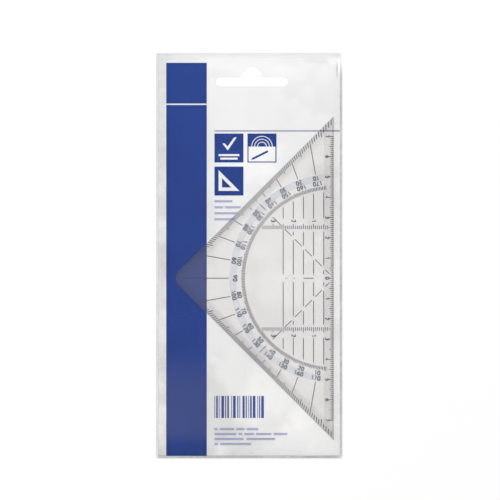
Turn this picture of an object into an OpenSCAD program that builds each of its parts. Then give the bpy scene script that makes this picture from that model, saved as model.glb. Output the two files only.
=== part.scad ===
// Set square with a protractor, in its clear welded hanging pouch.
// The pouch lies on its back film, the mouth points to +Y and the print faces up.
// The square's long edge is parallel to Y, and its right-angled corner points to -X.

/* [Set square plate] */
// Length of the long edge between the two sharp corners
long_edge = 160; // [120:1:200]
// Thickness of the moulded plate
plate_t = 2; // [1.5:0.1:3]
// Radius on the right-angled corner
apex_r = 4.8; // [2:0.1:8]
// Radius on the two sharp corners
tip_r = 0.25; // [0.2:0.05:1.5]
// Width of the sloping facet along the long edge
facet_w = 5; // [3:0.1:7]
// Height left at the long edge, below the facet
facet_edge_t = 0.9; // [0.5:0.1:1.3]
// Chamfer on the two short edges
leg_chamfer = 0.3; // [0.1:0.05:0.6]
// Radius of the moulding gate mark
gate_r = 1.6; // [0.8:0.1:2.5]
// Depth of the moulding gate mark
gate_depth = 0.1; // [0.05:0.01:0.3]
// Width of the gate mark's sloping wall
gate_wall = 0.3; // [0.1:0.05:0.5]
// Distance of the gate mark from the long edge
gate_u = 21.5; // [18:0.1:24]

/* [Stamped marks] */
// Thickness of the stamped ink
ink_t = 0.03; // [0.01:0.01:0.05]
// Width of a graduation line
line_w = 0.32; // [0.15:0.01:0.35]
// Width of a drawn line or ray
ray_w = 0.33; // [0.2:0.01:0.45]
// Distance kept between the ink and the plate's outline
ink_inset = 0.15; // [0.05:0.05:0.4]
// Length of the long edge without graduations, at each end
scale_margin = 10; // [5:1:20]
// Division of the long-edge scale
scale_step = 1; // [1:1:2]
// Line length at each division
scale_line = 1.6; // [1:0.1:1.9]
// Line length at each fifth division
scale_line_5 = 2.2; // [1.7:0.1:2.4]
// Line length at each tenth division
scale_line_10 = 2.5; // [2:0.1:3]

/* [Protractor] */
// Width of the figured rim between the degree lines and the short edges
rim_w = 12.7; // [11:0.1:14]
// Length of a degree line
arc_line = 1.7; // [1:0.1:1.8]
// Length of a five-degree line
arc_line_5 = 2; // [1.5:0.1:2.5]
// Gap between the degree lines and the tinted ring behind the degree figures
tint_gap = 2.2; // [0.5:0.1:2.6]
// Width of the tinted ring
tint_w = 3.4; // [2.5:0.1:4.5]
// Length of the line between the degree figures at 45 and 135 degrees
ring_line = 4.7; // [3.5:0.1:5.5]
// Depth of a degree line at the short edges, square to the edge
leg_line = 2.2; // [1:0.1:2.6]
// Depth of a five-degree line at the short edges
leg_line_5 = 3.1; // [2.6:0.1:4]
// Width of a degree line at the short edges
leg_line_w = 0.38; // [0.2:0.01:0.45]
// Gap between the tinted ring and the long rays
ray_gap = 0.4; // [0.2:0.1:1]
// Gap there where the plate is narrow, beside the half right angles
ray_gap_narrow = 1.1; // [0.6:0.1:2]

/* [Drawing aids] */
// Spacing of the lines parallel to the long edge
parallel_step = 5; // [4:0.5:6]
// Number of parallel lines
parallel_count = 5; // [3:1:5]
// Half of the gap in the parallel lines at the middle of the plate
middle_gap = 1.9; // [1:0.1:2.5]
// Half of the gap where a parallel line meets a diagonal
crossing_gap = 1.2; // [0.6:0.1:1.6]
// Gap between the lines and the degree lines
ring_gap = 1.1; // [0.5:0.1:2]
// Distance of the two cross scales from the middle
cross_scale_v = 25; // [22:0.5:28]
// Start of the cross scales, from the long edge
cross_scale_start = 3; // [2:1:5]
// Gap between the last line of a cross scale and the degree lines
cross_end_gap = 0.3; // [0.2:0.1:1]
// Line length on the cross scales
cross_line = 1.9; // [1.2:0.1:2.2]
// Line length at each fifth division of the cross scales
cross_line_5 = 2.7; // [2.3:0.1:3.5]
// Gap that the parallel lines leave each side of a cross scale's middle
cross_scale_gap = 3.4; // [3:0.1:4]
// Radius of the two dots on the middle line
dot_r = 0.25; // [0.15:0.05:0.5]

/* [Pouch] */
// Thickness of each clear film
film_t = 0.2; // [0.1:0.05:0.3]
// Free height between the plate and each film
slide_gap = 0.15; // [0.1:0.05:0.4]
// Width of the cut weld round the pouch
weld_w = 1.2; // [0.8:0.1:2]
// Height of the weld bead
bead_h = 0.7; // [0.6:0.05:1]
// Radius on the pouch's corners
pouch_corner_r = 1; // [0.5:0.1:1.2]
// Room between the pouch's left side and the square's right-angled corner point
room_left = 7.8; // [7:0.1:15]
// Room between the long edge and the pouch's right side
room_right = 4.2; // [4:0.1:8]
// Room below the square
room_below = 8.9; // [7:0.1:15]
// Room above the square, with the hanging slot
room_above = 31.1; // [24:0.1:45]
// Width of the strip in which the films lie together beside a weld
foot_w = 0.5; // [0.3:0.1:0.8]
// Free height between the films beside a weld
foot_gap = 0.05; // [0.03:0.01:0.08]
// Width of the folded hem on the front film's mouth
hem_w = 2.5; // [1.5:0.1:4]

/* [Hanging slot] */
// Length of the slot, end to end
slot_l = 35.8; // [30:0.1:40]
// Height of the slot
slot_h = 4.6; // [4.4:0.1:6]
// Radius of the slot's middle arch
arch_r = 5; // [4:0.1:6]
// Distance of the slot's middle from the pouch's top edge
slot_drop = 14.2; // [12:0.1:18]
// Distance of the slot's middle from the pouch's middle
slot_shift = 1.3; // [0:0.1:3]

/* [Print on the back film] */
// Thickness of the print
print_t = 0.02; // [0.01:0.01:0.03]
// Width of the printed band and header
band_w = 20; // [12:0.1:22]
// Clear margin left of the band
band_margin = 5.1; // [4:0.1:8]
// Height of the header block
header_h = 20.1; // [15:0.1:25]
// Clear margin above the header block
header_margin = 4.8; // [4:0.1:8]
// Clear gap between header and band
header_gap = 0.7; // [0.3:0.1:2]
// Distance between the band and the printed column
column_gap = 3.8; // [2:0.1:5]
// Distance of the thin rule from the pouch's top edge
rule_drop = 38.4; // [36:0.1:42]
// Width of the thin rule
rule_w = 0.7; // [0.3:0.05:0.8]
// Side of a square picture panel
panel_side = 14.3; // [10:0.1:15]
// Gap between the panels
panel_gap = 2; // [1:0.1:3]
// Distance of the panels below the rule
panel_drop = 0.95; // [0.6:0.05:3]
// Width of the outline of the panel with arcs
frame_w = 0.5; // [0.3:0.05:0.8]
// Gap between the panels and the caption below them
caption_gap = 2.3; // [1:0.1:4]
// Length of the bar pattern
bars_l = 24.4; // [18:0.1:30]
// Height of the bar pattern
bars_h = 10.9; // [8:0.1:14]
// Distance of the bar pattern from the pouch's bottom edge
bars_rise = 19.9; // [18:0.1:25]
// Height of a line of word bars
word_h = 1.1; // [0.6:0.1:1.6]
// Distance between the lines of word bars
word_pitch = 2.95; // [2.4:0.05:3.5]
// Distance between the lower, smaller lines of word bars
small_word_pitch = 2.45; // [2:0.05:3]
// Length of the lower lines of word bars
small_word_l = 36; // [25:1:40]

/* [Hidden] */

film_colour = [0.86, 0.88, 0.9, 0.35];
weld_colour = [0.8, 0.82, 0.85, 0.7];
blue_print = [0.16, 0.27, 0.55];
rule_colour = [0.6, 0.6, 0.75];
plate_colour = [0.87, 0.87, 0.85, 0.6];
ink_colour = [0.25, 0.27, 0.38];
tint_colour = [0.72, 0.76, 0.84];

overrun = 1;
arc_steps = 12;
half_turn = 180;
right_angle = 90;

// Plate, seen from above: the origin is the middle of the long edge
altitude = long_edge / 2;
leg_distance = altitude / sqrt(2);
apex_centre_u = altitude - apex_r * sqrt(2);

// Heights of the layers
back_top = film_t;
plate_z = back_top + slide_gap;
pocket_top = plate_z + plate_t + slide_gap;
foot_z = back_top + foot_gap;

// Pouch outline, centred on the origin
pouch_w = room_left + altitude + room_right;
pouch_l = room_below + long_edge + room_above;
inner_x = pouch_w / 2 - weld_w;
inner_y = pouch_l / 2 - weld_w;
hem_y = pouch_l / 2 - hem_w;
square_x = pouch_w / 2 - room_right;
square_y = room_below + long_edge / 2 - pouch_l / 2;

// Flanks of the front film, from the foot beside the weld to the flat top
left_flank_w = room_left + apex_r * (sqrt(2) - 1) - weld_w - foot_w - 5 * slide_gap;
right_flank_w = 3.3;
bottom_flank_w = 3.2;
flank_steps = 8;

// Hanging slot
slot_y = pouch_l / 2 - slot_drop;

// Print
band_x = band_margin - pouch_w / 2;
header_top = pouch_l / 2 - header_margin;
column_x = band_x + band_w + column_gap;
rule_y = pouch_l / 2 - rule_drop;
panel_y = rule_y - rule_w / 2 - panel_drop - panel_side;
bars_y = bars_rise - pouch_l / 2;

// Protractor and cross scales
arc_r = leg_distance - rim_w;
tint_r = arc_r + arc_line_5 + tint_gap;
ring_out_r = tint_r + tint_w;
cross_far_v = cross_scale_v + cross_line / 2;
cross_last = floor(sqrt(arc_r * arc_r - cross_far_v * cross_far_v) - cross_end_gap);

// Degrees without lines at each end of the protractor
arc_first = 5;
leg_first = 1;
diagonal_angle = 45;
narrow_angles = [40, 50, 130, 140];

// Picture panels: shares of the panel's side
tick_shares = [[0.27, 0.66], [0.36, 0.66], [0.45, 0.55], [0.68, 0.87], [0.77, 0.87], [0.46, 0.42]];
tick_line_shares = [[0.14, 0.22, 0.72], [0.2, 0.1, 0.6]];
tick_line_h_share = 0.07;
arcs_sky_share = 0.45;
arcs_r_shares = [0.14, 0.24, 0.34];
arcs_centre_share = 0.5;
arcs_line_share = 0.028;
pencil_shares = [[0.12, 0.1], [0.2, 0.1], [0.72, 0.36], [0.69, 0.42], [0.17, 0.16]];
triangle_shares = [[0.14, 0.16], [0.86, 0.16], [0.14, 0.88]];
triangle_hole_shares = [[0.26, 0.28], [0.58, 0.28], [0.26, 0.6]];

// Word bars: start and end of each word, as shares of the column or of the line
caption_shares = [[[0, 0.62]], [[0, 0.3], [0.36, 0.9]], [[0, 0.78]], [[0, 0.7]]];
address_shares = [
    [[0, 0.04], [0.07, 0.27], [0.3, 0.41], [0.44, 0.6]],
    [[0, 0.3], [0.33, 0.38], [0.41, 0.54], [0.57, 0.78], [0.81, 1]],
    [[0, 0.4], [0.44, 0.83]],
    [[0, 0.05], [0.08, 0.5]]
];

// Bar pattern: width of each bar and of the gap after it, in proportion
bar_shares = [
    [0.012, 0.02], [0.03, 0.02], [0.012, 0.035], [0.05, 0.02], [0.02, 0.02], [0.03, 0.045],
    [0.012, 0.02], [0.05, 0.03], [0.02, 0.02], [0.012, 0.045], [0.04, 0.02], [0.02, 0.03],
    [0.012, 0.02], [0.03, 0.02], [0.05, 0.035], [0.012, 0.02], [0.02, 0.02], [0.05, 0.02]
];

// Weld bead, seen along the weld: shares of its width from the films outwards and of its height
bead_shares = [
    [0, 0], [1, 0], [1, 0.4], [0.94, 0.78], [0.76, 1], [0.52, 0.96], [0.26, 0.78], [0, 0.66]
];

function unit(v) = v / norm(v);
function ease(t) = t * t * (3 - 2 * t);
function sum_to(list, n) = n == 0 ? 0 : list[n - 1][0] + list[n - 1][1] + sum_to(list, n - 1);

// Points of an arc that rounds corner p, which lies between a and b
function corner_arc(a, p, b, r) =
    let (
        to_a = unit(a - p),
        to_b = unit(b - p),
        half = acos(to_a * to_b) / 2,
        centre = p + unit(to_a + to_b) * r / sin(half),
        from = p + to_a * r / tan(half) - centre,
        start = atan2(from[1], from[0]),
        turn = half_turn - 2 * half,
        side = sign(to_a[0] * to_b[1] - to_a[1] * to_b[0])
    )
    [for (i = [0:arc_steps]) centre + r * [
        cos(start - side * turn * i / arc_steps),
        sin(start - side * turn * i / arc_steps)
    ]];

// Distance from the protractor's centre to the outline at an angle
function outline_r(angle) =
    let (
        off_axis = abs(right_angle - angle),
        across = apex_centre_u * sin(off_axis)
    )
    across < apex_r * sin(diagonal_angle)
        ? apex_centre_u * cos(off_axis) + sqrt(apex_r * apex_r - across * across)
        : altitude / (sin(angle) + abs(cos(angle)));

// Plate outline, drawn smaller by inset
module plate_outline(inset = 0) {
    tip = altitude - inset * (1 + sqrt(2));
    upper = [-inset, tip];
    lower = [-inset, -tip];
    apex = [-(altitude - inset * sqrt(2)), 0];
    polygon(concat(
        corner_arc(lower, upper, apex, tip_r),
        corner_arc(upper, apex, lower, apex_r - inset),
        corner_arc(apex, lower, upper, tip_r)
    ));
}

module at_square() {
    translate([square_x, square_y, plate_z]) children();
}

// Cutter that slopes an edge of the plate, at a distance from the origin, down by drop over width
module edge_cutter(distance, width, drop) {
    translate([distance, 0, 0])
        rotate([right_angle, 0, 0])
            linear_extrude(height = long_edge + 2 * overrun, center = true)
                polygon([
                    [-width, plate_t],
                    [overrun, plate_t - drop - overrun * drop / width],
                    [overrun, plate_t + overrun],
                    [-width, plate_t + overrun]
                ]);
}

// Cutter for the moulding gate mark, from its floor up
module gate_cutter() {
    rise = gate_depth + overrun;
    cylinder(h = rise, r1 = gate_r - gate_wall, r2 = gate_r - gate_wall + gate_wall * rise / gate_depth, $fn = 48);
}

module set_square_plate() {
    color(plate_colour)
        at_square()
            difference() {
                linear_extrude(height = plate_t) plate_outline();
                edge_cutter(0, facet_w, plate_t - facet_edge_t);
                for (side = [-1, 1])
                    rotate([0, 0, half_turn + side * diagonal_angle])
                        edge_cutter(leg_distance, leg_chamfer, leg_chamfer);
                translate([-gate_u, 0, plate_t - gate_depth]) gate_cutter();
            }
}

// Ink on the plate's underside, clipped to the outline
module stamped(layer = 1) {
    color(layer == 1 ? ink_colour : tint_colour)
        at_square()
            translate([0, 0, -layer * ink_t])
                linear_extrude(height = ink_t)
                    intersection() {
                        plate_outline(ink_inset);
                        children();
                    }
}

// A line away from the protractor's centre
module radial_line(angle, from_r, to_r, width) {
    rotate([0, 0, angle])
        translate([-width / 2, from_r])
            square([width, to_r - from_r]);
}

// A line square to the long edge, and one parallel to it
module line_across(v, from_u, to_u, width) {
    translate([-to_u, v - width / 2]) square([to_u - from_u, width]);
}

module line_along(u, from_v, to_v, width) {
    if (to_v > from_v)
        translate([-u - width / 2, from_v]) square([width, to_v - from_v]);
}

function line_length(n, plain, fifth, tenth) = n % 10 == 0 ? tenth : n % 5 == 0 ? fifth : plain;

module long_edge_scale() {
    last = floor((altitude - scale_margin) / scale_step);
    stamped()
        for (n = [-last:last])
            line_across(n * scale_step, 0, line_length(n, scale_line, scale_line_5, scale_line_10), line_w);
}

module protractor_scale() {
    stamped()
        for (angle = [arc_first:half_turn - arc_first])
            radial_line(angle, arc_r, arc_r + line_length(angle, arc_line, arc_line_5, arc_line_5), line_w);
}

module short_edge_scale() {
    stamped()
        for (angle = [leg_first:half_turn - leg_first])
            if (angle % 10 != 0)
                radial_line(
                    angle,
                    outline_r(angle) * (1 - line_length(angle, leg_line, leg_line_5, leg_line_5) / leg_distance),
                    outline_r(angle) + overrun,
                    leg_line_w
                );
}

module degree_rays() {
    stamped() {
        for (angle = [10:10:half_turn - 10])
            radial_line(
                angle,
                ring_out_r + (len(search(angle, narrow_angles)) > 0 ? ray_gap_narrow : ray_gap),
                outline_r(angle) + overrun,
                ray_w
            );
        for (angle = [diagonal_angle, half_turn - diagonal_angle])
            radial_line(angle, ring_out_r + ray_gap - ring_line, ring_out_r + ray_gap, ray_w);
    }
}

// Each parallel line stops at the middle, at the diagonals, at the cross scales and at the ring
module parallel_lines() {
    cross_in = cross_scale_v + (cross_line - cross_line_5) / 2 - cross_scale_gap / 2;
    cross_out = cross_scale_v + cross_scale_gap + ring_gap;
    stamped()
        for (n = [1:parallel_count], side = [0, 1])
            mirror([0, side]) {
                u = n * parallel_step;
                ring_v = sqrt(arc_r * arc_r - u * u) - ring_gap;
                line_along(u, middle_gap, u - crossing_gap, ray_w);
                line_along(u, u + crossing_gap, cross_in, ray_w);
                line_along(u, cross_out, ring_v, ray_w);
            }
}

module diagonal_lines() {
    pitch = parallel_step * sqrt(2);
    stamped()
        for (angle = [diagonal_angle, half_turn - diagonal_angle]) {
            for (n = [0:parallel_count - 1])
                radial_line(
                    angle,
                    n * pitch + (n == 0 ? 2.5 : 1) * crossing_gap,
                    (n + 1) * pitch - crossing_gap,
                    ray_w
                );
            radial_line(angle, parallel_count * pitch + crossing_gap, arc_r - ring_gap, ray_w);
        }
}

module cross_scales() {
    stamped()
        for (side = [0, 1])
            mirror([0, side])
                for (u = [cross_scale_start:cross_last]) {
                    fifth = u < cross_last ? cross_line_5 : cross_line;
                    line_along(
                        u,
                        cross_scale_v - cross_line / 2 + line_w / 2,
                        cross_scale_v - cross_line / 2 + line_length(u, cross_line, fifth, fifth),
                        line_w
                    );
                }
}

module middle_line() {
    stamped() {
        line_across(0, 2 * parallel_step, 3 * parallel_step, ray_w);
        for (side = [-1, 1])
            translate([-gate_u - side * (gate_r + 2 * dot_r), 0])
                circle(r = dot_r, $fn = 24);
    }
}

module figure_ring_tint() {
    stamped(2)
        intersection() {
            difference() {
                circle(r = ring_out_r, $fn = 180);
                circle(r = tint_r, $fn = 180);
            }
            translate([-facet_w - altitude, -altitude]) square([altitude, long_edge]);
        }
}

// Underside of the front film across the pouch, and along it up to end_y
function flank(from_x, to_x, lift) = [
    for (i = [0:flank_steps]) [
        from_x + (to_x - from_x) * i / flank_steps,
        foot_z + lift + (pocket_top - foot_z) * ease(i / flank_steps)
    ]
];

module section_across(lift, base) {
    foot_x = inner_x - foot_w;
    rotate([right_angle, 0, 0])
        linear_extrude(height = pouch_l, center = true)
            polygon(concat(
                [[-inner_x, base], [-inner_x, foot_z + lift]],
                flank(-foot_x, left_flank_w - foot_x, lift),
                [for (p = [flank_steps:-1:0]) flank(foot_x, foot_x - right_flank_w, lift)[p]],
                [[inner_x, foot_z + lift], [inner_x, base]]
            ));
}

module section_along(lift, base, end_y) {
    foot_y = inner_y - foot_w;
    rotate([right_angle, 0, right_angle])
        linear_extrude(height = pouch_w, center = true)
            polygon(concat(
                [[-inner_y, base], [-inner_y, foot_z + lift]],
                flank(-foot_y, bottom_flank_w - foot_y, lift),
                [[end_y, pocket_top + lift], [end_y, base]]
            ));
}

module under_film(lift, base, end_y) {
    intersection() {
        section_across(lift, base);
        section_along(lift, base, end_y);
    }
}

module slot_cutter() {
    translate([slot_shift, slot_y, -overrun])
        linear_extrude(height = pocket_top + film_t + 2 * overrun) {
            square([slot_l - slot_h, slot_h], center = true);
            for (side = [-1, 1])
                translate([side * (slot_l - slot_h) / 2, 0])
                    circle(d = slot_h, $fn = 48);
            intersection() {
                translate([0, slot_h / 2]) circle(r = arch_r, $fn = 64);
                translate([-arch_r, 0]) square([2 * arch_r, slot_h + arch_r]);
            }
        }
}

module back_film() {
    color(film_colour)
        difference() {
            translate([-inner_x, -inner_y, 0])
                cube([2 * inner_x, inner_y + pouch_l / 2, film_t]);
            slot_cutter();
        }
}

module front_film() {
    color(film_colour)
        difference() {
            under_film(film_t, foot_z, hem_y);
            under_film(0, foot_z - overrun, hem_y + overrun);
            slot_cutter();
        }
}

// The front film is folded back on itself at the mouth, so the hem is two films thick
module front_mouth_hem() {
    color(weld_colour)
        difference() {
            under_film(2 * film_t, foot_z, pouch_l / 2);
            under_film(0, foot_z - overrun, pouch_l / 2 + overrun);
            translate([-pouch_w / 2, -pouch_l, -overrun])
                cube([pouch_w, pouch_l + hem_y, pocket_top + 2 * overrun]);
        }
}

module pouch_outline() {
    half = [pouch_w / 2, pouch_l / 2];
    polygon([
        for (corner = [[1, 1], [-1, 1], [-1, -1], [1, -1]])
            let (p = [corner[0] * half[0], corner[1] * half[1]])
                each corner_arc(
                    corner[0] * corner[1] > 0 ? [p[0], 0] : [0, p[1]],
                    p,
                    corner[0] * corner[1] > 0 ? [0, p[1]] : [p[0], 0],
                    pouch_corner_r
                )
    ]);
}

module bead(length) {
    rotate([right_angle, 0, 0])
        linear_extrude(height = length, center = true)
            polygon([for (share = bead_shares) [share[0] * weld_w, share[1] * bead_h]]);
}

module side_weld(side) {
    color(weld_colour)
        intersection() {
            mirror([side < 0 ? 1 : 0, 0, 0])
                translate([inner_x, 0, 0]) bead(pouch_l);
            linear_extrude(height = bead_h) pouch_outline();
        }
}

module left_weld() {
    side_weld(-1);
}

module right_weld() {
    side_weld(1);
}

module bottom_weld() {
    color(weld_colour)
        translate([0, -inner_y, 0])
            rotate([0, 0, -right_angle]) bead(2 * inner_x);
}

// Ink on the back film's inner face
module printed(colour = blue_print) {
    color(colour)
        translate([0, 0, back_top])
            linear_extrude(height = print_t) children();
}

module header_print() {
    printed() translate([band_x, header_top - header_h]) square([band_w, header_h]);
}

module band_print() {
    top = header_top - header_h - header_gap;
    printed() translate([band_x, -inner_y]) square([band_w, top + inner_y]);
}

module rule_print() {
    printed(rule_colour)
        translate([column_x, rule_y - rule_w / 2]) square([inner_x - column_x, rule_w]);
}

// Places a panel of the printed column, by column and row
module panel_at(column, row) {
    pitch = panel_side + panel_gap;
    translate([column_x + column * pitch, panel_y - row * pitch]) children();
}

function panel_points(shares) = [for (share = shares) panel_side * share];

module tick_panel_print() {
    printed()
        panel_at(0, 0)
            difference() {
                square(panel_side);
                polygon(panel_points(tick_shares));
                for (share = tick_line_shares)
                    translate(panel_side * [share[0], share[1]])
                        square(panel_side * [share[2], tick_line_h_share]);
            }
}

module arcs_panel_print() {
    sky = arcs_sky_share * panel_side;
    line = arcs_line_share * panel_side;
    printed()
        panel_at(1, 0) {
            difference() {
                square(panel_side);
                translate([frame_w, frame_w]) square([panel_side - 2 * frame_w, panel_side - sky - frame_w]);
                for (share = arcs_r_shares)
                    intersection() {
                        translate([arcs_centre_share * panel_side, panel_side - sky])
                            difference() {
                                circle(r = share * panel_side + line, $fn = 64);
                                circle(r = share * panel_side, $fn = 64);
                            }
                        translate([0, panel_side - sky]) square([panel_side, sky]);
                    }
            }
            polygon(panel_points(pencil_shares));
        }
}

module triangle_panel_print() {
    printed()
        panel_at(0, 1)
            difference() {
                square(panel_side);
                difference() {
                    polygon(panel_points(triangle_shares));
                    polygon(panel_points(triangle_hole_shares));
                }
            }
}

// Lines of plain bars in the place of small print
module word_bars(lines, length, height, pitch) {
    for (i = [0:len(lines) - 1], word = lines[i])
        translate([word[0] * length, -i * pitch - height])
            square([(word[1] - word[0]) * length, height]);
}

module caption_print() {
    printed()
        translate([column_x, panel_y - panel_side - panel_gap - caption_gap])
            word_bars(caption_shares, panel_side, word_h, word_pitch);
}

module bar_pattern_print() {
    last = len(bar_shares) - 1;
    scale_l = bars_l / (sum_to(bar_shares, last) + bar_shares[last][0]);
    printed()
        translate([column_x, bars_y])
            for (i = [0:last])
                translate([sum_to(bar_shares, i) * scale_l, 0])
                    square([bar_shares[i][0] * scale_l, bars_h]);
}

module address_print() {
    printed(rule_colour)
        translate([column_x, bars_y - 2 * small_word_pitch])
            word_bars(address_shares, small_word_l, word_h, small_word_pitch);
}

back_film();
front_film();
front_mouth_hem();
left_weld();
right_weld();
bottom_weld();
header_print();
band_print();
rule_print();
tick_panel_print();
arcs_panel_print();
triangle_panel_print();
caption_print();
bar_pattern_print();
address_print();
set_square_plate();
long_edge_scale();
protractor_scale();
short_edge_scale();
degree_rays();
parallel_lines();
diagonal_lines();
cross_scales();
middle_line();
figure_ring_tint();
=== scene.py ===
"""A clear set square with a protractor, in its clear hanging pouch, seen from straight above.

Lengths are in metres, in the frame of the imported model: +Z up, +Y towards the pouch's mouth.
The set square's own plane is described by u, the distance from its long edge, and v, the
distance from the middle of that edge towards +Y.
"""

import math

import bmesh
import bpy
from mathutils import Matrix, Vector
from mathutils.bvhtree import BVHTree


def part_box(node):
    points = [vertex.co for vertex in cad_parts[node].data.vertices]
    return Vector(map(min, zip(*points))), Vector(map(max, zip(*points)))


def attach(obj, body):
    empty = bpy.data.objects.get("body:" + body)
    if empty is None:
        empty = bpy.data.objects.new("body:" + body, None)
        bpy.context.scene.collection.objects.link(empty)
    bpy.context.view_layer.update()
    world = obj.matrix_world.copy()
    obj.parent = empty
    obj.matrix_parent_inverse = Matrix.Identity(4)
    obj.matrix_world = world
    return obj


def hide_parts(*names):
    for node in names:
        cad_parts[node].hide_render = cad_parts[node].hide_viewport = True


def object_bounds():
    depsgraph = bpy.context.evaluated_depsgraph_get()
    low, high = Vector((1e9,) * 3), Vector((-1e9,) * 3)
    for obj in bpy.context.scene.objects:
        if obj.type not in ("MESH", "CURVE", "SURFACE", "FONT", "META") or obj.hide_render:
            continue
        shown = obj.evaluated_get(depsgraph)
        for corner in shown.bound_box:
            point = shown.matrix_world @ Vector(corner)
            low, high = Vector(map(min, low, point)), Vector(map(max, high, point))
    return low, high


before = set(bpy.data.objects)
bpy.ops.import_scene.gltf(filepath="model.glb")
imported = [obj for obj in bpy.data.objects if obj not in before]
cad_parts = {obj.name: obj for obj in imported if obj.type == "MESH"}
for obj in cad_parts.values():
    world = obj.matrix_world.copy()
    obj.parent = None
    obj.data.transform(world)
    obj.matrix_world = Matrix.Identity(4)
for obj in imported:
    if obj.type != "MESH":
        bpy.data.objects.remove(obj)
cad_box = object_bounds()

MM = 0.001

# Camera: the photograph is 500 pixels wide, and 2.026 of them are 1 mm
IMAGE_PIXELS = 500
PIXELS_PER_MM = 2.026
POUCH_CENTRE_PIXEL = (249.1, 255.7)
CAMERA_HEIGHT = 1.6
CAMERA_FAR = 20
SENSOR_WIDTH = 0.036

# Clear surfaces that a ray may pass, on the way in and out
CLEAR_LAYERS = 48

# Surroundings: a floor just under the pouch, an even sky, and a square lamp
WHITE = (1, 1, 1, 1)
FLOOR_HALF = 3.0
FLOOR_DROP = 0.02 * MM
FLOOR_COLOUR = (0.8, 0.8, 0.8, 1)
SEEN_FLOOR_COLOUR = (0.45, 0.45, 0.45, 1)
SEEN_FLOOR_GLOW = 0.61
SKY_STRENGTH = 0.62
LAMP_PLACE = (-0.6, 0.65, 0.75)
LAMP_SIDE = 0.45
LAMP_POWER = 6.5

# Films: their thickness, the steps of their grid, and how far inside the CAD film a border point looks
FILM_T = 0.2 * MM
FINE_STEP = 0.4 * MM
COARSE_STEP = 1.6 * MM
FINE_BORDER = 8 * MM
EDGE_INSET = 0.02 * MM

# Slow waves of the front film: turns along X and along Y in radians for each metre, and the phase
WAVE_HEIGHT = 0.05 * MM
WAVES = ((61, 23, 1.1), (-48, 37, 0), (95, 71, 2))

# Puckers of the front film where a weld holds it
PUCKER_HEIGHT = 0.12 * MM
PUCKER_REACH = 4 * MM
PUCKER_LENGTH = 9 * MM
PUCKER_CROSSING = 0.37
PUCKER_PHASE = 0.6
HELD_REACH = 0.3 * PUCKER_REACH

# Creases of the front film near its corners: start and end, in mm
CREASE_HEIGHT = 0.16 * MM
CREASE_WIDTH = 0.5 * MM
CREASES = (
    ((-44.0, 96.4), (-38.5, 92.6)),
    ((-42.6, 97.2), (-39.2, 95.2)),
    ((43.6, 96.6), (39.0, 92.8)),
    ((43.4, 91.0), (40.6, 94.6)),
    ((43.2, -94.6), (38.6, -90.4)),
    ((43.4, -90.0), (40.2, -86.2)),
)

# How near two points are one, how near two heights or ends are equal, and a sharp edge in radians
SAME_POINT = 0.001 * MM
NEARLY_EQUAL = 0.01 * MM
SHARP_EDGE = 1.0

# How far outside the films rays and the cutter start, and how far inside them the slot lies
WELL_CLEAR = 1 * MM

# Noise: its octaves, the range that most of its values lie in, and the scale of crumpled blobs
PLAIN_DETAIL = 2
FULL_DETAIL = 3
NOISE_LOW = 0.3
NOISE_HIGH = 0.7
BLOB_SCALE = 75

# Printed ink
INK_CLOUD_SCALE = 55
INK_GRAIN_LOW = 0.2
INK_GRAIN_HIGH = 0.8
INK_BUMP = 0.15
INK_RELIEF = 0.05 * MM
INK_ROUGHNESS_SPREAD = 0.08
INK_GLOSS = 0.1

# Surface of clear plastic: slow waves with finer ones over them
SLOW_WAVE_SCALE = 28
SLOW_WAVE_STRETCH = (1, 0.6, 1)
FINE_WAVE_SCALE = 160
FINE_WAVE_STRETCH = (1, 0.4, 1)
FINE_WAVE_SHARE = 0.25

# Gloss of clear plastic: the share reflected straight back, and how fast it grows towards grazing
FLAT_GLOSS = 0.008
SCHLICK_POWER = 5.0
VEIL_ROUGHNESS = 0.6

# Painted shade in bands of the films, darker towards the bottom, at the left margin and at the foot,
# and a painted shadow line at the fold: two places along Y or X, and the painted shade at each
SHADE_BELOW_MOUTH = (50 * MM, 98 * MM, 0.009, 0.0)
SHADE_OF_LOWER_PART = (-30 * MM, 50 * MM, 0.006, 0.0)
LEFT_MARGIN_SHADE = (-40.5 * MM, -35 * MM, 0.025, 0.0)
FOOT_SHADE = (-96.5 * MM, -93 * MM, 0.004, 0.0)
FOLD_SHADE_LINE = (-98.6 * MM, -98.2 * MM, 0.045, 0.0)

# Painted shade of crumples in the films: the painted shade all over, and how far the blobs make the
# painted shade vary
CRUMPLE_SHADE = 0.002
CRUMPLE = 0.6
CRUMPLE_STRETCH = (0.8, 1, 1)

# Painted highlights and shade for the uneven sheen of the films: centre and radii of soft spots in mm,
# and the painted shade there, a painted highlight where it is below 0
PAINTED_FILM_SPOTS = (
    ((-2, 92.5), (36, 9), -0.008),
    ((37.5, 79), (22, 17), 0.013),
    ((2, 48), (20, 16), -0.018),
    ((-21, 52), (5, 20), 0.009),
    ((38, 41), (8, 10), 0.018),
    ((35, 25), (12, 22), 0.017),
    ((17, -13), (26, 20), -0.012),
    ((43.4, -14), (5, 22), -0.018),
    ((43.4, -59), (5, 30), -0.013),
    ((13, -69), (24, 20), -0.017),
    ((-22, -84), (21, 38), 0.024),
    ((30, -84), (18, 14), -0.012),
    ((-5, -93), (17, 10), 0.02),
    ((-44, 53), (5, 14), 0.01),
    ((-43, 25), (4, 14), -0.008),
    ((-43, -11), (4, 12), 0.015),
    ((-43, -34), (6, 18), -0.028),
    ((-43, -78), (4.5, 26), -0.018),
    ((-31, 97.8), (14, 4), 0.018),
    ((-17, 90), (11, 5), 0.01),
    ((35, 98), (11, 4), 0.015),
    ((-19, 15), (4, 24), 0.014),
    ((41.8, 96.4), (4.5, 2.4), -0.02),
    ((43.4, 91), (0.6, 6), 0.045),
    ((44.4, 93), (0.6, 6), -0.04),
)

# Share of a painted spot's radius that has its full painted amount, and the ripple of its edge
SPOT_CORE = 0.3
SPOT_RIPPLE = 0.3
SPOT_RIPPLE_SCALE = 90

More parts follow.
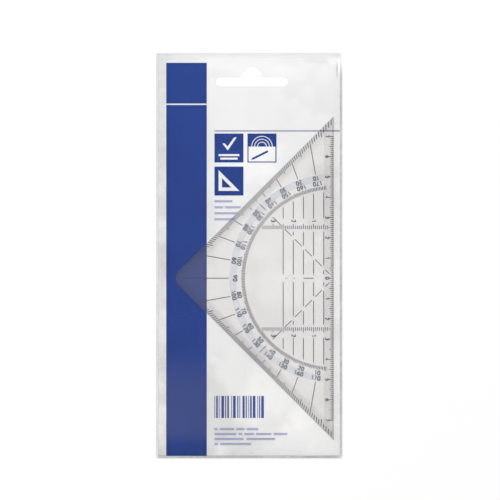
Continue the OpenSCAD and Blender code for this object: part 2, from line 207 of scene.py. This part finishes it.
# Haze where the front film hangs away from the back film: its share, and where it starts and ends
HAZE_PATCH = 0.018
HAZE_RISE = (-42 * MM, -70 * MM)
HAZE_FALL = (-94.5 * MM, -86 * MM)

# Painted shade in the hem, more along its folded edge, and how far the blobs make it vary
HEM_FOLD = 1.7 * MM
HEM_FOLD_BLUR = 0.5 * MM
HEM_SHADE = 0.004
HEM_FOLD_SHADE = 0.028
HEM_CRUMPLE = 0.5
HEM_CRUMPLE_STRETCH = (1, 0.5, 1)

# Painted shade in the plate: a dark line at its long edge, and soft shade inside its short edges
LONG_EDGE_LINE = 0.6 * MM
LONG_EDGE_SHADE = 0.12
SHORT_EDGE_SHADE_AMOUNT = (-10 * MM, 10 * MM, 0.085, 0.042)
SHORT_EDGE_SHADE = (3 * MM, 6 * MM)
BESIDE_BAND = (-24 * MM, -18 * MM)

# Melted and cut edge: beads along it, and how far up a face looks where the cut rim ends
BEAD_SCALE = 420
BEAD_SHARE = 0.5
BEAD_BUMP = 0.6
BEAD_RELIEF = 0.15 * MM
MELT_LOW = 0.35
MELT_HIGH = 0.65
MELT_ROUGHNESS = 0.3
MELT_CLEAR = (0.97, 0.97, 0.97, 1)
RIM_TILT = (0.75, 0.95)

# Width of the painted highlight line along the outer edge of the right weld
HIGHLIGHT_RIM_WIDTH = 0.22 * MM

# The pouch's corners near which the painted shade of its melted edges fades out, and how far from each
# it does
SHADE_FADING_CORNERS = (
    ((cad_box[1][0], cad_box[1][1]), 3 * MM, 14 * MM),
    ((cad_box[1][0], cad_box[0][1]), -1 * MM, 4 * MM),
)

# Tinted ring
RING_GRAIN_SCALE = 120
RING_COVER = 0.03
RING_ROUGHNESS = 0.6
RING_CLEAR = (0.95, 0.966, 0.986, 1)
RING_INK = (0.42, 0.5, 0.62, 1)

# Figures on the set square. The digits' width, pitch and shift are shares of a figure's height
FIGURE_T = 0.03 * MM
STROKE = 0.47 * MM
STROKE_ROUNDING = 2
DIGIT_WIDTH = 0.6
DIGIT_PITCH = 0.92
LONG_NUMBER_SHIFT = 0.2
SCALE_FIGURE_H = 1.65 * MM
SCALE_FIGURE_U = 3.2 * MM
DEGREE_FIGURE_H = 1.85 * MM
INNER_FIGURE_R = 47.3 * MM
OUTER_FIGURE_R = 50.0 * MM
RIGHT_ANGLE_FIGURE_R = 48.7 * MM
CROSS_FIGURE_H = 1.85 * MM
CROSS_FIGURE_V = 28.3 * MM
CROSS_FIGURE_RISE = 0.2 * MM
CENTIMETRE = 10 * MM
DEGREE_STEP = 10
RIGHT_ANGLE = 90
HALF_TURN = 180
LAST_SCALE_FIGURE = 7
LAST_CROSS_FIGURE = 3


# Node helpers

def make_material(name):
    mat = bpy.data.materials.new(name)
    mat.use_nodes = True
    mat.node_tree.nodes.clear()
    return mat


def add(mat, kind, settings=None, **sockets):
    """Adds a node. A socket's value is a number, a colour or another node's output."""
    node = mat.node_tree.nodes.new("ShaderNode" + kind)
    for key, value in (settings or {}).items():
        setattr(node, key, value)
    for key, value in sockets.items():
        socket = node.inputs[int(key[1:])] if key[0] == "_" else node.inputs[key.replace("_", " ")]
        if isinstance(value, bpy.types.NodeSocket):
            mat.node_tree.links.new(value, socket)
        else:
            socket.default_value = value
    return node


def maths(mat, operation, a, b=0.0):
    return add(mat, "Math", {"operation": operation}, _0=a, _1=b).outputs[0]


def ramp(mat, value, low, high, to_low=0.0, to_high=1.0):
    """A smooth change from to_low to to_high as value goes from low to high."""
    node = add(
        mat, "MapRange", {"interpolation_type": "SMOOTHSTEP"},
        _0=value, _1=low, _2=high, _3=to_low, _4=to_high,
    )
    return node.outputs[0]


def in_pouch(mat):
    """Where the shaded point lies in the pouch, as a vector in metres."""
    return add(mat, "TexCoord").outputs["Object"]


def place(mat):
    """Where the shaded point lies in the pouch, as X and Y in metres."""
    parts = add(mat, "SeparateXYZ", Vector=in_pouch(mat))
    return parts.outputs[0], parts.outputs[1]


def upright(mat):
    """1 where the shaded face looks straight up, 0 where it stands on edge, -1 where it looks down."""
    return add(mat, "SeparateXYZ", Vector=add(mat, "NewGeometry").outputs["Normal"]).outputs[2]


def noise(mat, scale, detail=PLAIN_DETAIL, stretch=(1, 1, 1)):
    """Noise that is fixed to the piece; scale is in features for each metre."""
    mapping = add(mat, "Mapping", Vector=in_pouch(mat), Scale=stretch)
    texture = add(mat, "TexNoise", Vector=mapping.outputs[0], Scale=scale, Detail=detail)
    return texture.outputs["Fac"]


def spread(mat, cloud, to_low, to_high):
    """Noise with its usual range brought to to_low and to_high."""
    return ramp(mat, cloud, NOISE_LOW, NOISE_HIGH, to_low, to_high)


def mixed_colour(mat, share, first, second):
    node = add(mat, "Mix", {"data_type": "RGBA"}, _0=share, _6=first, _7=second)
    return node.outputs[2]


def grey(mat, value):
    return add(mat, "CombineColor", _0=value, _1=value, _2=value).outputs[0]


def mix_shaders(mat, share, first, second):
    return add(mat, "MixShader", _0=share, _1=first.outputs[0], _2=second.outputs[0])


def finish_material(mat, shader):
    output = add(mat, "OutputMaterial")
    mat.node_tree.links.new(shader.outputs[0], output.inputs["Surface"])
    return mat


# Materials

def ink_material(name, colour, roughness=0.5, variation=0.06, grain=900):
    """Printed ink: slightly uneven in tone, with the fine grain of a printed surface."""
    mat = make_material(name)
    low = [c * (1 - variation) for c in colour] + [1]
    high = [min(1, c * (1 + variation)) for c in colour] + [1]
    cloud = spread(mat, noise(mat, INK_CLOUD_SCALE, FULL_DETAIL), 0.0, 1.0)
    grains = noise(mat, grain)
    smoother, rougher = roughness - INK_ROUGHNESS_SPREAD, roughness + INK_ROUGHNESS_SPREAD
    bump = add(mat, "Bump", Strength=INK_BUMP, Distance=INK_RELIEF, Height=grains)
    shader = add(
        mat, "BsdfPrincipled",
        Base_Color=mixed_colour(mat, cloud, low, high),
        Roughness=ramp(mat, grains, INK_GRAIN_LOW, INK_GRAIN_HIGH, smoother, rougher),
        Specular_IOR_Level=INK_GLOSS,
        Normal=bump.outputs[0],
    )
    return finish_material(mat, shader)


def nothing(mat):
    """For clear plastic that is the same all over the piece."""
    return 0.0


def clear_material(
    name, tint, haze_colour, haze, roughness, wave, slope_painted_shade, steep, wave_painted_shade,
    place_painted_shading=nothing, place_haze=nothing,
):
    """Clear plastic: what is behind shows through, dimmed a little, under a soft gloss.

    Slopes get a painted shade up to their given amount, reached where the face tilts by 1 - cos =
    steep.
    The second amount is a painted shade that follows the slow waves over the piece. The last two
    arguments make the painted shade and light, and the haze, that are added at certain places of the
    piece.
    """
    mat = make_material(name)
    slow = noise(mat, SLOW_WAVE_SCALE, FULL_DETAIL, SLOW_WAVE_STRETCH)
    fine = noise(mat, FINE_WAVE_SCALE, stretch=FINE_WAVE_STRETCH)
    relief = maths(mat, "ADD", slow, maths(mat, "MULTIPLY", fine, FINE_WAVE_SHARE))
    bump = add(mat, "Bump", Strength=1.0, Distance=wave, Height=relief).outputs[0]
    # Painted shade on tilted faces and along the slow waves, and painted shade and light at certain
    # places
    tilt = maths(mat, "SUBTRACT", 1.0, maths(mat, "ABSOLUTE", upright(mat)))
    painted_shading = maths(mat, "MULTIPLY", ramp(mat, tilt, 0.0, steep), slope_painted_shade)
    painted_shading = maths(mat, "ADD", painted_shading, maths(mat, "MULTIPLY", slow, wave_painted_shade))
    painted_shading = maths(mat, "ADD", painted_shading, place_painted_shading(mat))
    haze = maths(mat, "ADD", haze, place_haze(mat))
    passing = grey(mat, maths(mat, "SUBTRACT", 1.0, painted_shading))
    through = add(
        mat, "Mix", {"data_type": "RGBA", "blend_type": "MULTIPLY"},
        _0=1.0, _6=list(tint) + [1], _7=passing,
    )
    clear = add(mat, "BsdfTransparent", Color=through.outputs[2])
    veil = add(mat, "BsdfPrincipled", Base_Color=list(haze_colour) + [1], Roughness=VEIL_ROUGHNESS)
    body = mix_shaders(mat, haze, clear, veil)
    facing = add(mat, "LayerWeight").outputs["Facing"]
    edge_on = maths(mat, "MULTIPLY", maths(mat, "POWER", facing, SCHLICK_POWER), 1 - FLAT_GLOSS)
    shine = maths(mat, "ADD", edge_on, FLAT_GLOSS)
    gloss = add(mat, "BsdfGlossy", Roughness=roughness, Normal=bump)
    return finish_material(mat, mix_shaders(mat, shine, body, gloss))


def spot(mat, centre, radii, painted_shading, ripple):
    """A painted shade inside an ellipse with a soft edge, which ripple makes uneven; where the amount
    is below 0 it is a painted highlight.
    """
    size = [1 / (r * MM) for r in radii] + [0]
    shift = [-c / r for c, r in zip(centre, radii)] + [0]
    mapping = add(mat, "Mapping", Vector=in_pouch(mat), Scale=size, Location=shift)
    away = add(mat, "VectorMath", {"operation": "LENGTH"}, _0=mapping.outputs[0]).outputs["Value"]
    return ramp(mat, maths(mat, "ADD", away, ripple), SPOT_CORE, 1.0, painted_shading, 0.0)


def film_loss(mat):
    """Painted shade and light in the film: darker towards the bottom, painted shade of crumpled blobs
    beside the welds, a painted shadow line at the fold, and soft painted spots of highlight and shade.
    """
    x, y = place(mat)
    mouth = ramp(mat, y, *SHADE_BELOW_MOUTH)
    low = ramp(mat, y, *SHADE_OF_LOWER_PART)
    left = ramp(mat, x, *LEFT_MARGIN_SHADE)
    foot = ramp(mat, y, *FOOT_SHADE)
    fold = ramp(mat, y, *FOLD_SHADE_LINE)
    margins = maths(mat, "ADD", maths(mat, "ADD", left, foot), CRUMPLE_SHADE)
    blobs = spread(mat, noise(mat, BLOB_SCALE, stretch=CRUMPLE_STRETCH), 1 - CRUMPLE, 1 + CRUMPLE)
    crumple_shade = maths(mat, "MULTIPLY", margins, blobs)
    painted_shading = maths(mat, "ADD", maths(mat, "ADD", mouth, low), maths(mat, "ADD", crumple_shade, fold))
    ripple = spread(mat, noise(mat, SPOT_RIPPLE_SCALE, FULL_DETAIL), -SPOT_RIPPLE, SPOT_RIPPLE)
    for centre, radii, amount in PAINTED_FILM_SPOTS:
        painted_shading = maths(mat, "ADD", painted_shading, spot(mat, centre, radii, amount, ripple))
    return painted_shading


def film_haze(mat):
    """Haze where the front film hangs away from the back film."""
    y = place(mat)[1]
    rise = ramp(mat, y, *HAZE_RISE)
    fall = ramp(mat, y, *HAZE_FALL)
    return maths(mat, "MULTIPLY", maths(mat, "MULTIPLY", rise, fall), HAZE_PATCH)


def hem_loss(mat):
    """Painted shade in the hem, in crumpled blobs, and darker along its folded edge."""
    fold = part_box("front_mouth_hem")[1].y - HEM_FOLD
    edge = ramp(mat, place(mat)[1], fold, fold + HEM_FOLD_BLUR, HEM_SHADE, HEM_FOLD_SHADE)
    cloud = noise(mat, BLOB_SCALE, stretch=HEM_CRUMPLE_STRETCH)
    return maths(mat, "MULTIPLY", edge, spread(mat, cloud, 1 - HEM_CRUMPLE, 1 + HEM_CRUMPLE))


def plate_loss(mat):
    """Painted shade in the plate: a line at its long edge, and shade at its short edges, none of it
    over the blue band.
    """
    low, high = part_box("set_square_plate")
    x, y = place(mat)
    v = maths(mat, "SUBTRACT", y, (low.y + high.y) / 2)
    u = maths(mat, "SUBTRACT", high.x, x)
    line = ramp(mat, u, LONG_EDGE_LINE, 1.5 * LONG_EDGE_LINE, LONG_EDGE_SHADE, 0.0)
    reach = maths(mat, "ADD", u, maths(mat, "ABSOLUTE", v))
    inside = maths(mat, "SUBTRACT", (high.y - low.y) / 2, reach)
    depth = maths(mat, "MULTIPLY", inside, math.sqrt(0.5))
    shade = ramp(mat, v, *SHORT_EDGE_SHADE_AMOUNT)
    shade = maths(mat, "MULTIPLY", shade, ramp(mat, depth, *SHORT_EDGE_SHADE, 1.0, 0.0))
    shade = maths(mat, "MULTIPLY", shade, ramp(mat, x, *BESIDE_BAND))
    return maths(mat, "ADD", line, shade)


def far_from(mat, corner, near, far):
    """0 nearer than near to a corner of the pouch, 1 beyond far."""
    away = add(mat, "VectorMath", {"operation": "DISTANCE"}, _0=in_pouch(mat), _1=(*corner, 0))
    return ramp(mat, away.outputs["Value"], near, far)


def weld_material(name, solid_share, dark, light, rim_tone, shade_fading_corners=()):
    """The melted and cut edge: partly clear, with small beads and a cut rim of another tone; its tones
    are painted lighter on the lit side of the pouch and darker on the shaded side, with a painted
    highlight line along the outer edge of the right weld.
    """
    mat = make_material(name)
    for corner, near, far in shade_fading_corners:
        solid_share = maths(mat, "MULTIPLY", solid_share, far_from(mat, corner, near, far))
    beads = noise(mat, BEAD_SCALE)
    blobs = noise(mat, BLOB_SCALE)
    tone = maths(
        mat, "ADD",
        maths(mat, "MULTIPLY", beads, BEAD_SHARE), maths(mat, "MULTIPLY", blobs, 1 - BEAD_SHARE),
    )
    bump = add(mat, "Bump", Strength=BEAD_BUMP, Distance=BEAD_RELIEF, Height=beads)
    rim = ramp(mat, maths(mat, "ABSOLUTE", upright(mat)), *RIM_TILT, 1.0, 0.0)
    # Painted highlight along the outer edge of the right weld
    right_side = cad_box[1][0]
    right_highlight = ramp(mat, place(mat)[0], right_side - 1.5 * HIGHLIGHT_RIM_WIDTH, right_side - HIGHLIGHT_RIM_WIDTH)
    rim = maths(mat, "MAXIMUM", rim, right_highlight)
    melted = mixed_colour(mat, ramp(mat, tone, MELT_LOW, MELT_HIGH), dark, light)
    clear = add(mat, "BsdfTransparent", Color=MELT_CLEAR)
    solid = add(
        mat, "BsdfPrincipled", Base_Color=mixed_colour(mat, rim, melted, rim_tone),
        Roughness=MELT_ROUGHNESS, Normal=bump.outputs[0],
    )
    return finish_material(mat, mix_shaders(mat, solid_share, clear, solid))


def tint_material():
    """The thin tinted ring: a pale ink that the plate shows through."""
    mat = make_material("ring_tint")
    cover = spread(mat, noise(mat, RING_GRAIN_SCALE), 0.0, RING_COVER)
    clear = add(mat, "BsdfTransparent", Color=RING_CLEAR)
    ink = add(mat, "BsdfPrincipled", Base_Color=RING_INK, Roughness=RING_ROUGHNESS)
    return finish_material(mat, mix_shaders(mat, cover, clear, ink))


FILM = clear_material(
    "clear_film", tint=(0.999, 0.999, 0.999), haze_colour=(0.95, 0.9, 0.8), haze=0.002,
    roughness=0.14, wave=0.5 * MM, slope_painted_shade=0.006, steep=0.2, wave_painted_shade=0.03,
    place_painted_shading=film_loss, place_haze=film_haze,
)
HEM = clear_material(
    "folded_hem", tint=(0.975, 0.975, 0.975), haze_colour=(0.9, 0.9, 0.9), haze=0.01,
    roughness=0.14, wave=0.5 * MM, slope_painted_shade=0.006, steep=0.2, wave_painted_shade=0.02,
    place_painted_shading=hem_loss,
)
PLATE = clear_material(
    "clear_plate", tint=(0.99, 0.986, 0.984), haze_colour=(0.95, 0.82, 0.72), haze=0.033,
    roughness=0.08, wave=0.12 * MM, slope_painted_shade=0.12, steep=0.03, wave_painted_shade=0.01,
    place_painted_shading=plate_loss,
)
# Painted light: the left weld, on the side the lamp lights, is a paler copy of the right and bottom
# welds
LIT_WELD = weld_material(
    "weld_painted_lit", solid_share=0.3,
    dark=(0.74, 0.74, 0.74, 1), light=(0.92, 0.92, 0.92, 1), rim_tone=(0.7, 0.7, 0.7, 1),
)
# Painted shade: the right and bottom welds, away from the lamp, are a darker copy of the left weld,
# with a painted highlight on their cut rim
SHADED_WELD = weld_material(
    "weld_painted_shade", solid_share=0.5,
    dark=(0.44, 0.44, 0.45, 1), light=(0.66, 0.66, 0.67, 1), rim_tone=WHITE,
    shade_fading_corners=SHADE_FADING_CORNERS,
)
TINT = tint_material()
BLUE = ink_material("blue_print", (0.013, 0.054, 0.3), roughness=0.45)
BARS = ink_material("bar_print", (0.022, 0.07, 0.36), roughness=0.45)
PALE = ink_material("rule_print", (0.43, 0.44, 0.6))
SMALL = ink_material("small_print", (0.51, 0.54, 0.78))
STAMP = ink_material("stamped_ink", (0.02, 0.042, 0.13), variation=0.15, grain=1500)

NODE_MATERIALS = {
    "left_weld": LIT_WELD, "right_weld": SHADED_WELD, "bottom_weld": SHADED_WELD,
    "header_print": BLUE, "band_print": BLUE, "tick_panel_print": BLUE,
    "arcs_panel_print": BLUE, "triangle_panel_print": BLUE, "bar_pattern_print": BARS,
    "caption_print": SMALL, "address_print": SMALL, "rule_print": PALE,
    "set_square_plate": PLATE, "figure_ring_tint": TINT,
    "long_edge_scale": STAMP, "protractor_scale": STAMP, "short_edge_scale": STAMP,
    "degree_rays": STAMP, "parallel_lines": STAMP, "diagonal_lines": STAMP,
    "cross_scales": STAMP, "middle_line": STAMP,
}


def dress(obj, mat):
    obj.data.materials.clear()
    obj.data.materials.append(mat)


def dress_cad_nodes():
    for name, mat in NODE_MATERIALS.items():
        dress(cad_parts[name], mat)


# Mesh helpers

def new_object(name, data):
    obj = bpy.data.objects.new(name, data)
    bpy.context.scene.collection.objects.link(obj)
    return obj


def mesh_object(name, bm):
    """An object made of a bmesh, which is freed."""
    mesh = bpy.data.meshes.new(name)
    bm.to_mesh(mesh)
    bm.free()
    return new_object(name, mesh)


def evaluated_mesh(obj):
    """The mesh of an object with its modifiers or its bevel applied."""
    bpy.context.view_layer.update()
    graph = bpy.context.evaluated_depsgraph_get()
    return bpy.data.meshes.new_from_object(obj.evaluated_get(graph))


# Films

def steps(low, high):
    """Places from low to high, close together near both ends."""
    places = []
    at = low
    while at < high - FINE_STEP / 2:
        places.append(at)
        fine = min(at - low, high - at) < FINE_BORDER
        at += FINE_STEP if fine else COARSE_STEP
    return places + [high]


def film_wave(x, y, low, high):
    """Small lift of a film: slow waves, and puckers where a weld holds it."""
    slow = sum(math.sin(along_x * x + along_y * y + phase) for along_x, along_y, phase in WAVES)
    inward = min(x - low.x, high.x - x, y - low.y)
    hold = math.exp(-((inward / PUCKER_REACH) ** 2))
    turn = 2 * math.pi / PUCKER_LENGTH
    pucker = math.sin(turn * (x + y)) * math.sin(PUCKER_CROSSING * turn * (x - y) + PUCKER_PHASE)
    free = 1 - math.exp(-((inward / HELD_REACH) ** 2))
    waves = WAVE_HEIGHT * slow / len(WAVES) * (1 - hold) + PUCKER_HEIGHT * pucker * hold * free
    return waves + crease_lift(x, y) * free


def crease_lift(x, y):
    """Height of the sharp creases, which fade out towards their ends."""
    lift = 0
    for start, end in CREASES:
        start, end = Vector(start) * MM, Vector(end) * MM
        along = end - start
        share = min(max((Vector((x, y)) - start).dot(along) / along.length_squared, 0), 1)
        gap = (Vector((x, y)) - start - along * share).length
        lift += CREASE_HEIGHT * math.exp(-((gap / CREASE_WIDTH) ** 2)) * math.sin(math.pi * share)
    return lift


def film_heights(node, xs, ys):
    """Rows of heights of a CAD film's upper face. Over the slot they are those beside it."""
    low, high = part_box(node)
    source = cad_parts[node].data
    tree = BVHTree.FromPolygons([v.co for v in source.vertices], [p.vertices for p in source.polygons])
    above = high.z + WELL_CLEAR
    rows = []
    for y in ys:
        inner_y = min(max(y, low.y + EDGE_INSET), high.y - EDGE_INSET)
        row = []
        for x in xs:
            inner_x = min(max(x, low.x + EDGE_INSET), high.x - EDGE_INSET)
            hit = tree.ray_cast(Vector((inner_x, inner_y, above)), Vector((0, 0, -1)))[0]
            row.append(hit.z if hit else row[-1])
        rows.append(row)
    return rows


def film_sheet(name, node, waves):
    """A thin sheet that follows the upper face of a CAD film, closed all round."""
    low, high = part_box(node)
    xs = steps(low.x, high.x)
    ys = steps(low.y, high.y)
    bm = bmesh.new()
    tops, bottoms = [], []
    for y, heights in zip(ys, film_heights(node, xs, ys)):
        tops.append([])
        bottoms.append([])
        for x, height in zip(xs, heights):
            top = height + (film_wave(x, y, low, high) if waves else 0)
            tops[-1].append(bm.verts.new((x, y, top)))
            bottoms[-1].append(bm.verts.new((x, y, top - FILM_T)))
    last_row, last_column = len(ys) - 1, len(xs) - 1
    for j in range(last_row):
        for i in range(last_column):
            for grid in (tops, bottoms):
                bm.faces.new((grid[j][i], grid[j][i + 1], grid[j + 1][i + 1], grid[j + 1][i]))
    for j in range(last_row):
        for i in (0, last_column):
            bm.faces.new((tops[j][i], tops[j + 1][i], bottoms[j + 1][i], bottoms[j][i]))
    for i in range(last_column):
        for j in (0, last_row):
            bm.faces.new((tops[j][i], tops[j][i + 1], bottoms[j][i + 1], bottoms[j][i]))
    bmesh.ops.recalc_face_normals(bm, faces=bm.faces)
    sheet = mesh_object(name, bm)
    sheet.data.shade_smooth()
    return sheet


def slot_outline():
    """The punched slot's outline, read from the edges round the hole in the back film."""
    low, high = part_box("back_film")
    left, right = low.x + WELL_CLEAR, high.x - WELL_CLEAR
    bottom, top = low.y + WELL_CLEAR, high.y - WELL_CLEAR
    bm = bmesh.new()
    bm.from_mesh(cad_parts["back_film"].data)
    bmesh.ops.remove_doubles(bm, verts=bm.verts, dist=SAME_POINT)
    after = {}
    for edge in bm.edges:
        on_top = all(abs(v.co.z - high.z) < NEARLY_EQUAL for v in edge.verts)
        inside = all(left < v.co.x < right and bottom < v.co.y < top for v in edge.verts)
        if on_top and inside and edge.calc_face_angle(0) > SHARP_EDGE:
            a, b = edge.verts
            after.setdefault(a, []).append(b)
            after.setdefault(b, []).append(a)
    start = next(iter(after))
    loop, previous, current = [start.co.copy()], start, after[start][0]
    while current != start:
        loop.append(current.co.copy())
        following = [v for v in after[current] if v != previous][0]
        previous, current = current, following
    bm.free()
    return [(co.x, co.y) for co in loop]


def prism(name, outline, low_z, high_z):
    bm = bmesh.new()
    lower = [bm.verts.new((x, y, low_z)) for x, y in outline]
    upper = [bm.verts.new((x, y, high_z)) for x, y in outline]
    bm.faces.new(lower)
    bm.faces.new(upper)
    count = len(outline)
    for i in range(count):
        j = (i + 1) % count
        bm.faces.new((lower[i], lower[j], upper[j], upper[i]))
    bmesh.ops.recalc_face_normals(bm, faces=bm.faces)
    return mesh_object(name, bm)


def punch(obj, outline):
    """Cuts the slot through a film."""
    low_z, high_z = cad_box[0][2] - WELL_CLEAR, cad_box[1][2] + WELL_CLEAR
    cutter = prism("slot_cutter", outline, low_z, high_z)
    cut = obj.modifiers.new("slot", "BOOLEAN")
    cut.operation = "DIFFERENCE"
    cut.solver = "EXACT"
    cut.object = cutter
    mesh = evaluated_mesh(obj)
    obj.modifiers.clear()
    obj.data = mesh
    bpy.data.objects.remove(cutter)


def make_films():
    outline = slot_outline()
    for name, node, waves, punched, mat, slot in (
        ("back_film_sheet", "back_film", False, True, FILM, "clear_film"),
        ("front_film_sheet", "front_film", True, True, FILM, "clear_film"),
        ("front_hem_fold", "front_mouth_hem", False, False, HEM, "welded_film"),
    ):
        film = film_sheet(name, node, waves)
        if punched:
            punch(film, outline)
        dress(film, mat)
        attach(film, "pouch")
        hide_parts(node)


# Figures

def arc(cx, cy, rx, ry, start, end, count=10):
    """Points of an arc, with angles in degrees."""
    return [
        (
            cx + rx * math.cos(math.radians(start + (end - start) * i / count)),
            cy + ry * math.sin(math.radians(start + (end - start) * i / count)),
        )
        for i in range(count + 1)
    ]


def closed(points):
    return points + [points[0]]


# Strokes of each digit in a box 0.6 wide and 1 high
DIGITS = {
    "0": [closed(arc(0.3, 0.7, 0.28, 0.3, 0, 180) + arc(0.3, 0.3, 0.28, 0.3, 180, 360))],
    "1": [[(0.15, 0.74), (0.43, 1), (0.43, 0)]],
    "2": [arc(0.3, 0.72, 0.28, 0.28, 165, -40, 9) + [(0.03, 0), (0.58, 0)]],
    "3": [arc(0.29, 0.76, 0.25, 0.24, 150, -90, 9) + arc(0.29, 0.27, 0.29, 0.27, 90, -155, 10)],
    "4": [[(0.6, 0.25), (-0.02, 0.25), (0.42, 1), (0.42, 0)]],
    "5": [[(0.53, 1), (0.1, 1), (0.05, 0.55)] + arc(0.28, 0.33, 0.3, 0.33, 125, -150, 10)],
    "6": [[(0.46, 1), (0.2, 0.72)] + arc(0.3, 0.31, 0.29, 0.31, 150, 510, 16)],
    "7": [[(0.02, 1), (0.58, 1), (0.2, 0)]],
    "8": [
        closed(arc(0.3, 0.76, 0.23, 0.24, 0, 345, 12)),
        closed(arc(0.3, 0.27, 0.29, 0.27, 0, 345, 14)),
    ],
    "9": [[(0.14, 0), (0.4, 0.28)] + arc(0.3, 0.69, 0.29, 0.31, -30, 330, 16)],
}


def figure_strokes(text, height, centre, up):
    """The strokes of a number, centred on a point, with its top towards up."""
    up = Vector(up).normalized()
    right = Vector((up.y, -up.x))
    width = DIGIT_PITCH * (len(text) - 1) + DIGIT_WIDTH
    left = width / 2 + (LONG_NUMBER_SHIFT if len(text) > 2 else 0)
    strokes = []
    for i, digit in enumerate(text):
        for stroke in DIGITS[digit]:
            strokes.append([
                Vector(centre)
                + right * height * (x + i * DIGIT_PITCH - left)
                + up * height * (y - 0.5)
                for x, y in stroke
            ])
    return strokes


def stroke_piece(name, strokes, z):
    """Flat rounded lines of ink, one closed solid for each stroke."""
    curve = bpy.data.curves.new(name + "_curve", "CURVE")
    curve.dimensions = "3D"
    curve.bevel_depth = STROKE / 2
    curve.bevel_resolution = STROKE_ROUNDING
    curve.use_fill_caps = True
    for stroke in strokes:
        ring = (stroke[0] - stroke[-1]).length < NEARLY_EQUAL
        points = stroke[:-1] if ring else stroke
        spline = curve.splines.new("POLY")
        spline.use_cyclic_u = ring
        spline.points.add(len(points) - 1)
        for point, at in zip(spline.points, points):
            point.co = (at.x, at.y, 0, 1)
    shape = new_object(name + "_shape", curve)
    mesh = evaluated_mesh(shape)
    bpy.data.objects.remove(shape)
    for vertex in mesh.vertices:
        vertex.co.z = z + vertex.co.z * FIGURE_T / STROKE
    mesh.name = name
    return new_object(name, mesh)


def on_square(u, v):
    """A point of the square's plane, by its distance from the long edge and from its middle."""
    low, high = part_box("set_square_plate")
    return Vector((high.x - u, (low.y + high.y) / 2 + v))


def polar(radius, angle):
    """A point on the protractor, by its angle from the +Y end of the long edge."""
    turn = math.radians(angle)
    return on_square(radius * math.sin(turn), radius * math.cos(turn))


def make_figures():
    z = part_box("long_edge_scale")[0].z + FIGURE_T / 2
    to_edge = (1, 0)
    middle = on_square(0, 0)
    scale, inner, outer, cross = [], [], [], []
    for n in range(-LAST_SCALE_FIGURE, LAST_SCALE_FIGURE + 1):
        centre = on_square(SCALE_FIGURE_U, n * CENTIMETRE)
        scale += figure_strokes(str(abs(n)), SCALE_FIGURE_H, centre, to_edge)
    for angle in range(DEGREE_STEP, HALF_TURN, DEGREE_STEP):
        if angle == RIGHT_ANGLE:
            rows = ((inner, RIGHT_ANGLE_FIGURE_R, angle),)
        else:
            rows = ((inner, INNER_FIGURE_R, HALF_TURN - angle), (outer, OUTER_FIGURE_R, angle))
        for row, radius, value in rows:
            centre = polar(radius, angle)
            row += figure_strokes(str(value), DEGREE_FIGURE_H, centre, middle - centre)
    for side in (-1, 1):
        for n in range(1, LAST_CROSS_FIGURE + 1):
            centre = on_square(n * CENTIMETRE - CROSS_FIGURE_RISE, side * CROSS_FIGURE_V)
            cross += figure_strokes(str(n), CROSS_FIGURE_H, centre, to_edge)
    for name, strokes in (
        ("long_edge_figures", scale), ("inner_degree_figures", inner),
        ("outer_degree_figures", outer), ("cross_scale_figures", cross),
    ):
        piece = stroke_piece(name, strokes, z)
        dress(piece, STAMP)
        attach(piece, "set_square")


# Surroundings

def white_to_camera(owner, plain, white):
    """Shows camera, glossy and transmitted rays the white shader, and all others the plain one."""
    path = add(owner, "LightPath")
    seen = maths(owner, "MAXIMUM", path.outputs["Is Camera Ray"], path.outputs["Is Transmission Ray"])
    seen = maths(owner, "MAXIMUM", seen, path.outputs["Is Glossy Ray"])
    return mix_shaders(owner, seen, plain, white)


def make_floor():
    bm = bmesh.new()
    corners = ((-1, -1), (1, -1), (1, 1), (-1, 1))
    bm.faces.new([bm.verts.new((x * FLOOR_HALF, y * FLOOR_HALF, 0)) for x, y in corners])
    floor = mesh_object("floor", bm)
    floor.location.z = -FLOOR_DROP
    mat = make_material("pale_floor")
    plain = add(mat, "BsdfDiffuse", Color=FLOOR_COLOUR)
    shaded = add(mat, "BsdfDiffuse", Color=SEEN_FLOOR_COLOUR)
    glow = add(mat, "Emission", Color=WHITE, Strength=SEEN_FLOOR_GLOW)
    lifted = add(mat, "AddShader", _0=shaded.outputs[0], _1=glow.outputs[0])
    dress(floor, finish_material(mat, white_to_camera(mat, plain, lifted)))


def make_world():
    world = bpy.data.worlds.new("studio")
    world.use_nodes = True
    world.node_tree.nodes.clear()
    bpy.context.scene.world = world
    sky = add(world, "Background", Color=WHITE, Strength=SKY_STRENGTH)
    white = add(world, "Background", Color=WHITE, Strength=1.0)
    output = add(world, "OutputWorld")
    shader = white_to_camera(world, sky, white)
    world.node_tree.links.new(shader.outputs[0], output.inputs["Surface"])


def make_lamp():
    """One square lamp, aimed at the middle of the pouch."""
    lamp = bpy.data.lights.new("key", "AREA")
    lamp.shape = "RECTANGLE"
    lamp.size = LAMP_SIDE
    lamp.size_y = LAMP_SIDE
    lamp.energy = LAMP_POWER
    obj = new_object("key", lamp)
    obj.location = LAMP_PLACE
    obj.rotation_euler = (-Vector(LAMP_PLACE)).to_track_quat("-Z", "Y").to_euler()


def make_camera():
    camera = bpy.data.cameras.new("camera")
    camera.sensor_width = SENSOR_WIDTH / MM
    seen_width = IMAGE_PIXELS / PIXELS_PER_MM * MM
    camera.lens = SENSOR_WIDTH / seen_width * CAMERA_HEIGHT / MM
    camera.clip_end = CAMERA_FAR
    middle = IMAGE_PIXELS / 2
    obj = new_object("camera", camera)
    obj.location = (
        (middle - POUCH_CENTRE_PIXEL[0]) / PIXELS_PER_MM * MM,
        (POUCH_CENTRE_PIXEL[1] - middle) / PIXELS_PER_MM * MM,
        CAMERA_HEIGHT,
    )
    bpy.context.scene.camera = obj


bpy.context.scene.view_settings.view_transform = "Standard"
bpy.context.scene.cycles.transparent_max_bounces = CLEAR_LAYERS
make_camera()
make_world()
make_lamp()
make_floor()
dress_cad_nodes()
make_films()
make_figures()
